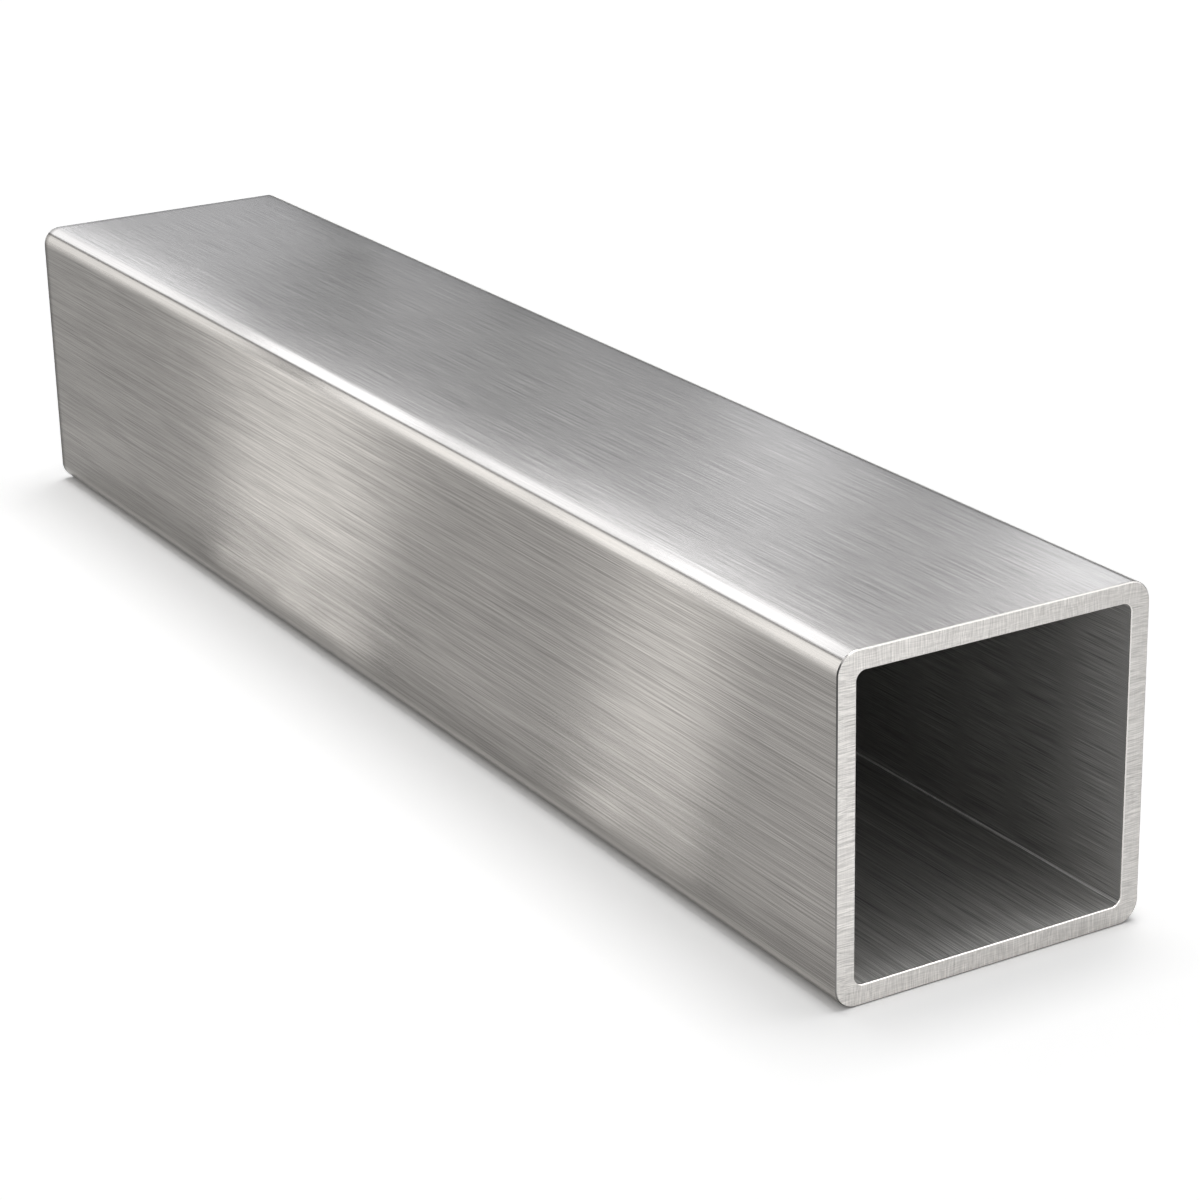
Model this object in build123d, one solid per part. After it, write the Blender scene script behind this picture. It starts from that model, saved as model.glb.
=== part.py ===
from build123d import *
import os

# Square hollow section in brushed stainless steel, cut to length.
# It lies on one of its flat sides. +X runs along the tube, +Z is up, and
# the origin is on the ground below the middle of the tube.

# Driving dimensions, in millimetres
side = 50.0          # outside width and height of the section
wall = 3.0           # thickness of the four flat walls
length = 265.0       # from one sawn end to the other
outer_radius = 3.25  # outside of the rolled corners
inner_radius = 1.4   # inside of the rolled corners
edge_break = 0.25    # rounding that deburring leaves on the edges of a sawn end


def section():
    """The hollow section, square to the tube, at the end that faces -X.

    The outside and the inside corners have radii of their own, so the
    corners are a little thicker than the walls, as rolling leaves them.
    """
    bore = side - 2 * wall
    outside = RectangleRounded(side, side, outer_radius)
    inside = RectangleRounded(bore, bore, inner_radius)
    end_plane = Plane(origin=(-length / 2, 0, side / 2), x_dir=(0, 1, 0), z_dir=(1, 0, 0))
    return end_plane * (outside - inside)


def deburred(tube):
    """The tube with the edges of both sawn ends rounded, outside and inside."""
    ends = tube.faces().filter_by(Axis.X)
    return fillet(ends.edges(), edge_break)


def square_tube():
    """One length of tube, open at both ends."""
    return deburred(extrude(section(), amount=length))


os.makedirs("parts", exist_ok=True)
tube = square_tube()
tube.label = "square_tube"
export_step(tube, "parts/square_tube.step")
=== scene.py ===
import math

import bmesh
import bpy
from mathutils import Matrix, Vector


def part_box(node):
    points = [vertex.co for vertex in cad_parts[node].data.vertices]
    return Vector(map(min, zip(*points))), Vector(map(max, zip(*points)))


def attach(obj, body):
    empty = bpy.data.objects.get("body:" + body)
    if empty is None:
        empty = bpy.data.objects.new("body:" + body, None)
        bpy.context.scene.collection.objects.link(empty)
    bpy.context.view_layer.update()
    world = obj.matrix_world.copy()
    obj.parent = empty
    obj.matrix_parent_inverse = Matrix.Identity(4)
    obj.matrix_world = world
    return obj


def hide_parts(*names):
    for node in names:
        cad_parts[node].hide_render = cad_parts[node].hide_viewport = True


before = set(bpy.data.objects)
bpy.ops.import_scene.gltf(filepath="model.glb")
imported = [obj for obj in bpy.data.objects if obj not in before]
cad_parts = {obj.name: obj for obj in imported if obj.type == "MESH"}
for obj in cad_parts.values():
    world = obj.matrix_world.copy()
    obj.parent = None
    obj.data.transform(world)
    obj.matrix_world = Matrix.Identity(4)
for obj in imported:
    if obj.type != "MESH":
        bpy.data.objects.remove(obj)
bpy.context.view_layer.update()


# The tube
# One length of cold-rolled square section in stainless steel, lying on a flat
# side. It was sawn square at both ends, and the sharp edges were then broken.
low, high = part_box("square_tube")
length = high.x - low.x
side = high.z - low.z
wall = 0.003
outer_radius = 0.00325
inner_radius = 0.0014
edge_break = 0.00025
corner_steps = 14
edge_steps = 4
flat_half = side / 2 - outer_radius
bore_half = side / 2 - wall
OUTSIDE, SAWN, BORE = range(3)


def rolled_box(bm, width, radius):
    """A box as long as the tube, with its four long edges rounded and its ends open."""
    place = Matrix.LocRotScale(Vector((0, 0, side / 2)), None, Vector((length, width, width)))
    made = bmesh.ops.create_cube(bm, size=1, matrix=place)["verts"]
    edges = {edge for vert in made for edge in vert.link_edges}
    faces = {face for vert in made for face in vert.link_faces}
    long_edges = [edge for edge in edges if abs(edge.verts[0].co.x - edge.verts[1].co.x) > length / 2]
    ends = [face for face in faces if abs(face.normal.x) > 0.5]
    bmesh.ops.delete(bm, geom=ends, context="FACES_ONLY")
    bmesh.ops.bevel(bm, geom=long_edges, affect="EDGES", offset=radius, segments=corner_steps,
                    profile=0.5, material=-1, clamp_overlap=False)


def tube_mesh():
    """The hollow section: two rolled boxes, one inside the other, joined by a ring at each end."""
    bm = bmesh.new()
    rolled_box(bm, side - 2 * wall, inner_radius)
    bmesh.ops.reverse_faces(bm, faces=bm.faces)
    for face in bm.faces:
        face.material_index = BORE
    inner = set(bm.faces)
    rolled_box(bm, side, outer_radius)
    for face in bm.faces:
        if face not in inner:
            face.material_index = OUTSIDE
    for end in (-1, 1):
        rims = [edge for edge in bm.edges
                if edge.is_boundary and all(vert.co.x * end > length / 4 for vert in edge.verts)]
        ring = bmesh.ops.bridge_loops(bm, edges=rims)["faces"]
        for face in ring:
            face.material_index = SAWN
    bmesh.ops.recalc_face_normals(bm, faces=bm.faces)
    arrises = [edge for edge in bm.edges
               if len({face.material_index for face in edge.link_faces}) == 2]
    bmesh.ops.bevel(bm, geom=arrises, affect="EDGES", offset=edge_break, segments=edge_steps,
                    profile=0.5, material=SAWN, clamp_overlap=False)
    for face in bm.faces:
        face.smooth = True
    mesh = bpy.data.meshes.new("square_tube_visual")
    bm.to_mesh(mesh)
    bm.free()
    return mesh


tube = bpy.data.objects.new("brushed_square_tube", tube_mesh())
bpy.context.scene.collection.objects.link(tube)
flat_shading = tube.modifiers.new("flat faces stay flat", "WEIGHTED_NORMAL")
flat_shading.mode = "FACE_AREA"
flat_shading.weight = 100


def add_node(tree, kind, inputs=None, **settings):
    """Adds a node to a tree. An input given as a socket is linked, and anything else is its value."""
    node = tree.nodes.new(kind)
    for name, value in settings.items():
        setattr(node, name, value)
    for name, value in (inputs or {}).items():
        if isinstance(value, bpy.types.NodeSocket):
            tree.links.new(value, node.inputs[name])
        else:
            node.inputs[name].default_value = value
    return node


def math_node(tree, operation, *values):
    """The result of a Math node."""
    return add_node(tree, "ShaderNodeMath", dict(enumerate(values)), operation=operation).outputs[0]


def scaled(tree, vector, factor):
    """A vector or a colour, multiplied by a factor."""
    return add_node(tree, "ShaderNodeVectorMath", {0: vector, "Scale": factor}, operation="SCALE").outputs[0]


def spread(tree, value, low_in, high_in, low_out, high_out, smooth=False):
    """A value moved from one range to another, and held inside it."""
    kind = "SMOOTHSTEP" if smooth else "LINEAR"
    return add_node(tree, "ShaderNodeMapRange", {"Value": value, "From Min": low_in, "From Max": high_in,
                                                 "To Min": low_out, "To Max": high_out},
                    interpolation_type=kind).outputs[0]


def blend(tree, factor, first, second):
    """A colour that goes from the first to the second as the factor goes from 0 to 1."""
    return add_node(tree, "ShaderNodeMix", {0: factor, 6: first, 7: second}, data_type="RGBA").outputs[2]


def new_group(name, inputs, outputs):
    """An empty node group that takes a vector and some numbers, with its tree, inputs and outputs."""
    tree = bpy.data.node_groups.new(name, "ShaderNodeTree")
    tree.interface.new_socket("Vector", in_out="INPUT", socket_type="NodeSocketVector")
    for label, value in inputs:
        socket = tree.interface.new_socket(label, in_out="INPUT", socket_type="NodeSocketFloat")
        socket.default_value = value
    for label in outputs:
        tree.interface.new_socket(label, in_out="OUTPUT", socket_type="NodeSocketFloat")
    return tree, tree.nodes.new("NodeGroupInput").outputs, tree.nodes.new("NodeGroupOutput").inputs


def hairline_group():
    """Fine scratches along the vector's X, as a belt leaves them: each is long, thin and a little wavy.

    Lines is the pattern of short scratches and Scratches that of the longest ones, both about 0.5.
    """
    tree, given, result = new_group("hairlines", (("Line Width", 0.0003), ("Line Length", 0.03),
                                                  ("Sway", 0.00004)), ("Lines", "Scratches"))
    sways_per_metre = 110.0
    noise = add_node(tree, "ShaderNodeTexNoise",
                     {"Vector": given["Vector"], "Scale": sways_per_metre, "Detail": 2.0})
    centred = add_node(tree, "ShaderNodeVectorMath", {0: noise.outputs["Color"], 1: (0.5, 0.5, 0.5)},
                       operation="SUBTRACT").outputs[0]
    sway = scaled(tree, centred, given["Sway"])
    bent = add_node(tree, "ShaderNodeVectorMath", {0: given["Vector"], 1: sway}, operation="ADD").outputs[0]
    across = math_node(tree, "DIVIDE", 1.0, given["Line Width"])
    along = math_node(tree, "DIVIDE", 1.0, given["Line Length"])
    for label, lengthening, widening in (("Lines", 1.0, 1.0), ("Scratches", 0.15, 0.8)):
        scale = add_node(tree, "ShaderNodeCombineXYZ",
                         {"X": math_node(tree, "MULTIPLY", along, lengthening),
                          "Y": math_node(tree, "MULTIPLY", across, widening),
                          "Z": math_node(tree, "MULTIPLY", across, widening)})
        stretched = add_node(tree, "ShaderNodeVectorMath", {0: bent, 1: scale.outputs[0]},
                             operation="MULTIPLY")
        noise = add_node(tree, "ShaderNodeTexNoise", {"Vector": stretched.outputs[0], "Scale": 1.0,
                                                      "Detail": 2.0, "Roughness": 0.6})
        tree.links.new(noise.outputs["Fac"], result[label])
    return tree


def tube_place_group():
    """A point's X, Y and Z, and how far it is from the two long middle planes and the nearer end.

    Sideways is the distance from the upright middle plane, and Upright that from the level one.
    """
    tree, given, result = new_group("place on the tube", (),
                                    ("X", "Y", "Z", "Sideways", "Upright", "From End"))
    parts = add_node(tree, "ShaderNodeSeparateXYZ", {0: given["Vector"]}).outputs
    for axis in "XYZ":
        tree.links.new(parts[axis], result[axis])
    height = math_node(tree, "SUBTRACT", parts["Z"], side / 2)
    tree.links.new(math_node(tree, "ABSOLUTE", parts["Y"]), result["Sideways"])
    tree.links.new(math_node(tree, "ABSOLUTE", height), result["Upright"])
    from_end = math_node(tree, "SUBTRACT", length / 2, math_node(tree, "ABSOLUTE", parts["X"]))
    tree.links.new(from_end, result["From End"])
    return tree


hairlines = hairline_group()
tube_place = tube_place_group()


def finish_of(name):
    """A new material, with its node tree and its Principled shader."""
    material = bpy.data.materials.new(name)
    material.use_nodes = True
    return material, material.node_tree, material.node_tree.nodes["Principled BSDF"]


def point_in(tree):
    """The place of the point that a finish is seen at."""
    return tree.nodes.new("ShaderNodeTexCoord").outputs["Object"]


def place_on_tube(tree, point):
    """The outputs of the group that says where on the tube a point is."""
    return add_node(tree, "ShaderNodeGroup", {"Vector": point}, node_tree=tube_place).outputs


def hairlines_on(tree, place, line_width, line_length, sway=0.00004):
    """The outputs of the hairlines, drawn along a vector's X."""
    return add_node(tree, "ShaderNodeGroup", {"Vector": place, "Line Width": line_width,
                                              "Line Length": line_length, "Sway": sway},
                    node_tree=hairlines).outputs


def tone_of(tree, lines, contrast):
    """The tone of a line pattern: 1 on average, and at most the contrast darker or lighter."""
    return spread(tree, lines, -0.30, 0.30, 1 - contrast, 1 + contrast)


def add_relief(tree, shader, height, depth):
    """Gives a finish its fine relief. Where the height is 1, the relief is as high as the depth."""
    relief = add_node(tree, "ShaderNodeBump", {"Strength": 1.0, "Distance": depth, "Height": height})
    tree.links.new(relief.outputs[0], shader.inputs["Normal"])


def brushed_outside():
    """The four outer faces, brushed along the length with a belt. The belt only skims the rounded corners.

    The rim of the far end and the rear corners carry painted shade, which darkens them. The top and the
    bottom fall a little towards their long edges, which only shows in the shading.
    """
    flat_colour, corner_colour = (0.297, 0.285, 0.271, 1), (0.56, 0.538, 0.512, 1)
    line_width, line_length, contrast, scratch_gain = 0.00008, 0.018, 0.56, 1.10
    lost_on_corners = 0.8
    # Painted shade: the far rim and the rear corners are painted darker.
    rim_from, rim_to, far_rim_shade = 0.0007, 0.0019, 0.5
    rear_shade_strength = 0.55
    relief_depth = 0.00001
    fall_width, fall_depth = 0.016, 0.00056
    ease_width, ease_depth = 0.0018, 0.000094

    material, tree, shader = finish_of("brushed steel outside")
    point = point_in(tree)
    place = place_on_tube(tree, point)
    grain = hairlines_on(tree, point, line_width, line_length)
    corner = spread(tree, math_node(tree, "MINIMUM", place["Sideways"], place["Upright"]),
                    flat_half - 0.0002, flat_half + 0.0012, 0.0, 1.0, smooth=True)
    brushed = math_node(tree, "SUBTRACT", 1.0, math_node(tree, "MULTIPLY", corner, lost_on_corners))
    lines = math_node(tree, "MULTIPLY", math_node(tree, "SUBTRACT", grain["Lines"], 0.5), brushed)
    from_far_rim = math_node(tree, "ADD", place["X"], length / 2)
    # Painted shade on the rear rounded corners.
    rear_corner_shade = math_node(tree, "MULTIPLY", corner,
                     spread(tree, place["Y"], 0.0, flat_half, 0.0, rear_shade_strength))
    tone = tone_of(tree, lines, contrast)
    # The last two tones are painted shade, on the far rim and on the rear corners.
    for part_tone in (spread(tree, grain["Scratches"], 0.62, 0.74, 1.0, scratch_gain),
                      spread(tree, from_far_rim, rim_from, rim_to, far_rim_shade, 1.0),
                      math_node(tree, "SUBTRACT", 1.0, rear_corner_shade)):
        tone = math_node(tree, "MULTIPLY", tone, part_tone)
    steel = scaled(tree, blend(tree, corner, flat_colour, corner_colour), tone)
    tree.links.new(steel, shader.inputs["Base Color"])
    shader.inputs["Roughness"].default_value = 0.15
    shader.inputs["Metallic"].default_value = 1.0
    shader.inputs["Anisotropic"].default_value = 0.75
    shader.inputs["Specular Tint"].default_value = (0.6, 0.6, 0.6, 1)
    around = add_node(tree, "ShaderNodeTangent", direction_type="RADIAL", axis="X")
    tree.links.new(around.outputs[0], shader.inputs["Tangent"])

    to_corner = spread(tree, place["Sideways"], flat_half - fall_width, flat_half, 0.0, 1.0)
    past_corner = spread(tree, place["Sideways"], flat_half, flat_half + ease_width, 1.0, 0.0)
    ease = math_node(tree, "MULTIPLY", math_node(tree, "POWER", past_corner, 2.0),
                     ease_depth / relief_depth)
    fall = math_node(tree, "MULTIPLY_ADD", math_node(tree, "POWER", to_corner, 3.0),
                     -fall_depth / relief_depth, ease)
    add_relief(tree, shader, math_node(tree, "ADD", lines, fall), relief_depth)
    return material


def sawn_end():
    """The cut ends, sanded by hand across each wall, and their broken edges, which are rubbed smooth.

    The outer broken edge carries a painted dark line of shade, except along the top of the open end, where
    it is polished. The ends are painted lighter at the front and darker at the rear, also painted shade.
    """
    sawn_colour = (0.66, 0.641, 0.619)
    inner_polish, outer_polish = (0.78, 0.76, 0.735, 1), (0.50, 0.486, 0.471, 1)
    painted_shade_colour = (0.03, 0.03, 0.03, 1)
    line_width, line_length, line_sway, contrast = 0.00017, 0.004, 0.0014, 0.48
    painted_front_light, painted_rear_shade = 1.06, 0.84
    foot_shade, top_shade = 0.55, 0.92
    shade_line_from, shade_line_to = outer_radius - 0.00018, outer_radius - 0.00010
    sawn_roughness, polished_roughness = 0.42, 0.20
    relief_depth = 0.00004

    material, tree, shader = finish_of("sawn steel end")
    place = place_on_tube(tree, point_in(tree))
    strokes = []
    for first, second in (("Y", "Z"), ("Z", "Y")):
        turned = add_node(tree, "ShaderNodeCombineXYZ", {"X": place[first], "Y": place[second],
                                                         "Z": place["X"]}).outputs[0]
        strokes.append(hairlines_on(tree, turned, line_width, line_length, line_sway)["Lines"])
    lying_wall = spread(tree, math_node(tree, "SUBTRACT", place["Upright"], place["Sideways"]),
                        -0.001, 0.001, 0.15, 0.6, smooth=True)
    mixed = add_node(tree, "ShaderNodeMix", {0: lying_wall, 2: strokes[0], 3: strokes[1]}).outputs[0]
    lines = math_node(tree, "SUBTRACT", mixed, 0.5)
    # Painted shade: the ends are painted lighter at the front and darker at the rear.
    across = spread(tree, place["Y"], -side / 2, side / 2, painted_front_light, painted_rear_shade)
    tone = math_node(tree, "MULTIPLY", tone_of(tree, lines, contrast), across)
    sawn = scaled(tree, sawn_colour, tone)

    arris = spread(tree, place["From End"], 0.000005, 0.00004, 0.0, 1.0)
    over_side = math_node(tree, "MAXIMUM", math_node(tree, "SUBTRACT", place["Sideways"], flat_half), 0.0)
    over_top = math_node(tree, "MAXIMUM", math_node(tree, "SUBTRACT", place["Upright"], flat_half), 0.0)
    over = add_node(tree, "ShaderNodeCombineXYZ", {"X": over_side, "Y": over_top}).outputs[0]
    from_corner = add_node(tree, "ShaderNodeVectorMath", {0: over}, operation="LENGTH").outputs["Value"]
    # Painted shade: a dark line along the outer side of the broken edge, stronger higher up.
    outer_shade_line = spread(tree, from_corner, shade_line_from, shade_line_to, 0.0, 1.0)
    near_top = math_node(tree, "MULTIPLY", spread(tree, place["Z"], side - 0.0016, side - 0.0006, 0.0, 1.0),
                         math_node(tree, "GREATER_THAN", place["X"], 0.0))
    painted_edge_shade = math_node(tree, "MULTIPLY", outer_shade_line, math_node(tree, "SUBTRACT", 1.0, near_top))
    painted_edge_shade = math_node(tree, "MULTIPLY", painted_edge_shade, spread(tree, place["Z"], 0.010, 0.044, foot_shade, top_shade))
    rubbed = blend(tree, arris, sawn, blend(tree, outer_shade_line, inner_polish, outer_polish))
    tree.links.new(blend(tree, painted_edge_shade, rubbed, painted_shade_colour), shader.inputs["Base Color"])
    tree.links.new(spread(tree, arris, 0.0, 1.0, sawn_roughness, polished_roughness),
                   shader.inputs["Roughness"])
    shader.inputs["Metallic"].default_value = 1.0
    shader.inputs["Specular Tint"].default_value = (0.3, 0.3, 0.3, 1)
    add_relief(tree, shader, lines, relief_depth)
    return material


def mill_bore():
    """The inside, left as it was rolled: dull, with the drag lines of the rolls.

    Its colour is painted darker deeper inside, a painted shade, and its corners carry painted highlights as
    light creases.
    """
    mouth_colour, deep_painted_shade = (0.54, 0.533, 0.52, 1), (0.34, 0.336, 0.328, 1)
    painted_crease_highlight = (0.95, 0.94, 0.92, 1)
    line_width, line_length, contrast = 0.00008, 0.012, 0.90
    mouth_depth = 0.022
    relief_depth = 0.00006

    material, tree, shader = finish_of("mill steel bore")
    point = point_in(tree)
    place = place_on_tube(tree, point)
    grain = hairlines_on(tree, point, line_width, line_length)
    lines = math_node(tree, "SUBTRACT", grain["Lines"], 0.5)
    # Painted shade: the colour darkens deeper inside the bore.
    painted_depth_shade = spread(tree, place["From End"], 0.0, mouth_depth, 0.0, 1.0, smooth=True)
    # Painted highlights: light lines along the inner corners of the bore.
    crease_highlight = spread(tree, math_node(tree, "MINIMUM", place["Sideways"], place["Upright"]),
                    bore_half - 0.00060, bore_half - 0.00045, 0.0, 1.0, smooth=True)
    steel = blend(tree, crease_highlight, blend(tree, painted_depth_shade, mouth_colour, deep_painted_shade), painted_crease_highlight)
    tree.links.new(scaled(tree, steel, tone_of(tree, lines, contrast)), shader.inputs["Base Color"])
    shader.inputs["Metallic"].default_value = 0.45
    shader.inputs["Roughness"].default_value = 0.50
    add_relief(tree, shader, lines, relief_depth)
    return material


for finish in (brushed_outside(), sawn_end(), mill_bore()):
    tube.data.materials.append(finish)
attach(tube, "root")
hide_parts("square_tube")


# The floor
# A wide sheet of plain white card under the tube, which takes its soft shadow.
floor_width = 12.0
floor_glow = 0.33
contact_shade_width = 0.0025
bm = bmesh.new()
bmesh.ops.create_grid(bm, x_segments=1, y_segments=1, size=floor_width / 2)
floor_mesh = bpy.data.meshes.new("floor")
bm.to_mesh(floor_mesh)
bm.free()
floor = bpy.data.objects.new("floor", floor_mesh)
bpy.context.scene.collection.objects.link(floor)
card, card_tree, card_shader = finish_of("white card")
card_shader.inputs["Base Color"].default_value = (0.9, 0.9, 0.9, 1)
card_shader.inputs["Roughness"].default_value = 1.0
card_shader.inputs["Specular IOR Level"].default_value = 0.0
rays = add_node(card_tree, "ShaderNodeLightPath").outputs
seen = math_node(card_tree, "MAXIMUM", rays["Is Camera Ray"], rays["Is Glossy Ray"])
seen = math_node(card_tree, "MAXIMUM", seen, rays["Is Transmission Ray"])
# Near the tube, ambient occlusion darkens the glow: a painted contact shadow.
contact_shadow = add_node(card_tree, "ShaderNodeAmbientOcclusion", {"Distance": contact_shade_width}, samples=8)
seen = math_node(card_tree, "MULTIPLY", seen, contact_shadow.outputs["AO"])
card_shader.inputs["Emission Color"].default_value = (1, 1, 1, 1)
card_tree.links.new(math_node(card_tree, "MULTIPLY", seen, floor_glow),
                    card_shader.inputs["Emission Strength"])
floor.data.materials.append(card)


# The light
# A pale studio with one large soft box overhead, which makes the shadow. The rest only shows in the
# steel: dimmer boxes behind the tube, in front and beyond its open end, an arch of glowing sheets
# past its far end, and glowing cards on the floor in front, two of them carried on by a small box.
world = bpy.data.worlds.new("studio")
bpy.context.scene.world = world
world.use_nodes = True
studio = world.node_tree.nodes["Background"]
studio.inputs["Color"].default_value = (1.0, 1.0, 1.0, 1)
studio.inputs["Strength"].default_value = 0.25
arch_x = -0.30
arch_middle_y, arch_middle_z = -0.0235, 0.0475
arch_end_fade = 0.03
card_height = 0.0006
cool_white, plain_white, warm_white = (0.975, 1.0, 1.05), (1, 1, 1), (1.01, 1.0, 0.985)


def soft_box(name, place, facing, along, width, height, radiance, on_floor=False):
    """A lamp with an even, rectangular face, whose width runs along a direction. Radiance 1 looks white."""
    lamp = bpy.data.lights.new(name, "AREA")
    lamp.shape = "RECTANGLE"
    lamp.size, lamp.size_y = width, height
    lamp.energy = radiance * math.pi * width * height
    box = bpy.data.objects.new(name, lamp)
    behind = -Vector(facing).normalized()
    across = (Vector(along) - behind * behind.dot(Vector(along))).normalized()
    axes = Matrix((across, behind.cross(across), behind)).transposed().to_4x4()
    box.matrix_world = Matrix.Translation(place) @ axes
    box.visible_camera = False
    box.visible_diffuse = on_floor
    bpy.context.scene.collection.objects.link(box)


def glow_of(name, soft, radiance, colour):
    """A material that glows and hides nothing, and fades at the edges of its sheet."""
    material = bpy.data.materials.new(name)
    material.cycles.emission_sampling = "NONE"
    material.use_nodes = True
    tree = material.node_tree
    tree.nodes.clear()
    sheet_uv = tree.nodes.new("ShaderNodeTexCoord").outputs["UV"]
    way = add_node(tree, "ShaderNodeSeparateXYZ", {0: sheet_uv}).outputs
    mask = 1.0
    for share, (first, last) in ((way["X"], soft[:2]), (way["Y"], soft[2:])):
        mask = math_node(tree, "MULTIPLY", mask, spread(tree, share, 0.0, first, 0.0, 1.0, smooth=True))
        mask = math_node(tree, "MULTIPLY", mask, spread(tree, share, 1.0 - last, 1.0, 1.0, 0.0, smooth=True))
    glow = add_node(tree, "ShaderNodeEmission", {"Color": scaled(tree, colour, mask), "Strength": radiance})
    clear = tree.nodes.new("ShaderNodeBsdfTransparent").outputs[0]
    both = add_node(tree, "ShaderNodeAddShader", {0: glow.outputs[0], 1: clear})
    add_node(tree, "ShaderNodeOutputMaterial", {"Surface": both.outputs[0]})
    return material


def glowing_sheet(name, shape, soft, radiance, colour):
    """A sheet that only glows, and is only seen in the steel.

    shape gives the place of a point from its share across and along the sheet. soft holds the shares
    over which the glow fades in from its left, its right, its start and its end.
    """
    bm = bmesh.new()
    bm.loops.layers.uv.new("across and along")
    bmesh.ops.create_grid(bm, x_segments=24, y_segments=8, size=1.0, calc_uvs=True)
    for vert in bm.verts:
        vert.co = shape((vert.co.x + 1) / 2, (vert.co.y + 1) / 2)
    mesh = bpy.data.meshes.new(name)
    bm.to_mesh(mesh)
    bm.free()
    sheet = bpy.data.objects.new(name, mesh)
    bpy.context.scene.collection.objects.link(sheet)
    sheet.visible_camera = sheet.visible_diffuse = False
    sheet.visible_transmission = sheet.visible_shadow = False
    mesh.materials.append(glow_of(name, soft, radiance, colour))


def glowing_arch(name, turn, reach, radiance, colour=cool_white, fades=(6, 6)):
    """Part of the arch past the far end, round the tube's upper front edge.

    turn gives the two angles between which it shows, where 0 is straight above the edge and 90 in
    front of it, and reach its two distances from the edge. It fades out over the degrees given in
    fades at its two sides.
    """
    first, last = turn[0] - fades[0] / 2, turn[1] + fades[1] / 2
    inner, outer = reach[0] - arch_end_fade / 2, reach[1] + arch_end_fade / 2

    def shape(across, along):
        angle = math.radians(first + (last - first) * across)
        away = inner + (outer - inner) * along
        return (arch_x, arch_middle_y - math.sin(angle) * away, arch_middle_z + math.cos(angle) * away)

    end_fade = arch_end_fade / (outer - inner)
    soft = (fades[0] / (last - first), fades[1] / (last - first), end_fade, end_fade)
    glowing_sheet(name, shape, soft, radiance, colour)


def glowing_card(name, near, far, soft, radiance):
    """A card on the floor in front of the tube. near and far give the X of its two corners and their Y."""
    (near_left, near_right, near_y), (far_left, far_right, far_y) = near, far

    def shape(across, along):
        left = near_left + (far_left - near_left) * along
        right = near_right + (far_right - near_right) * along
        return (left + (right - left) * across, near_y + (far_y - near_y) * along, card_height)

    glowing_sheet(name, shape, soft, radiance, warm_white)


soft_box("overhead box", (-0.35, 0.70, 5.0), (0.07, -0.14, -1.0), (1, 0, 0), 2.5, 2.5, 7.3, on_floor=True)
soft_box("rim box", (0.67, 0.78, 1.19), (-0.36, -0.52, -0.775), (1, -0.69, 0), 2.8, 2.8, 1.7)
soft_box("front box", (1.2, -2.4, 2.0), (0, 0.77, -0.64), (1, 0, 0), 7.0, 3.4, 1.35)
soft_box("open end box", (3.4, 0.0, 0.9), (-1, 0, -0.26), (0, 1, 0), 4.0, 1.3, 1.2)
for part, reach, radiance in (("far", (0.06, 0.15), 1.2), ("middle", (0.15, 0.215), 0.95),
                              ("inner", (0.215, 0.285), 0.95), ("band", (0.285, 0.35), 1.9),
                              ("outer", (0.35, 0.41), 1.3), ("near", (0.41, 0.50), 3.0)):
    glowing_arch("back " + part, (-80, -50), reach, radiance)
for part, reach, radiance in (("far", (0.06, 0.14), 3.0), ("middle", (0.14, 0.245), 1.9),
                              ("inner", (0.245, 0.345), 3.2), ("near", (0.345, 0.45), 2.2)):
    glowing_arch("edge " + part, (-50, -32), reach, radiance)
for part, last, reach, radiance in (("far", 28, (0.06, 0.13), 1.75), ("middle", 29, (0.13, 0.205), 2.0),
                                    ("inner", 30, (0.205, 0.275), 1.6), ("near", 30, (0.275, 0.38), 1.85)):
    glowing_arch("crown " + part, (-32, last), reach, radiance)
for part, reach, radiance in (("far", (0.06, 0.15), 1.15), ("middle", (0.15, 0.24), 1.35),
                              ("inner", (0.24, 0.31), 1.4), ("near", (0.31, 0.40), 1.3)):
    glowing_arch("front " + part, (41, 90), reach, radiance, plain_white, (6, 26))
glowing_card("far band", (-0.0735, 0.0034, -0.0275), (-0.3474, -0.2153, -0.1540),
             (0.28, 0.31, 0.03, 0.001), 1.12)
glowing_card("near band", (0.0474, 0.0991, -0.0275), (-0.1273, -0.0702, -0.1540),
             (0.50, 0.28, 0.03, 0.001), 0.84)
glowing_card("foot", (-0.1458, 0.1253, -0.030), (-0.186, 0.1037, -0.045), (0.01, 0.01, 0.5, 0.5), 0.14)
soft_box("far band upright", (-0.30, -0.189, 0.03), (1, 0, 0), (0, 1, 0), 0.042, 0.06, 0.65)
soft_box("near band upright", (-0.30, -0.32, 0.05), (1, 0, 0), (0, 1, 0), 0.055, 0.10, 1.1)


# The camera
# It looks down on the tube from beyond its open end, as the photograph does.
camera_place = Vector((0.4424, -0.2401, 0.1993))
camera_aim = Vector((0.0315, 0.0, 0.0205))
camera_lens = 97.6
camera_roll = math.radians(-1.3)
camera = bpy.data.objects.new("camera", bpy.data.cameras.new("camera"))
camera.data.lens = camera_lens
camera.data.sensor_width = 36.0
look = (camera_aim - camera_place).to_track_quat("-Z", "Y")
camera.matrix_world = Matrix.LocRotScale(camera_place, look, None) @ Matrix.Rotation(camera_roll, 4, "Z")
bpy.context.scene.collection.objects.link(camera)
bpy.context.scene.camera = camera

bpy.context.scene.view_settings.view_transform = "Standard"
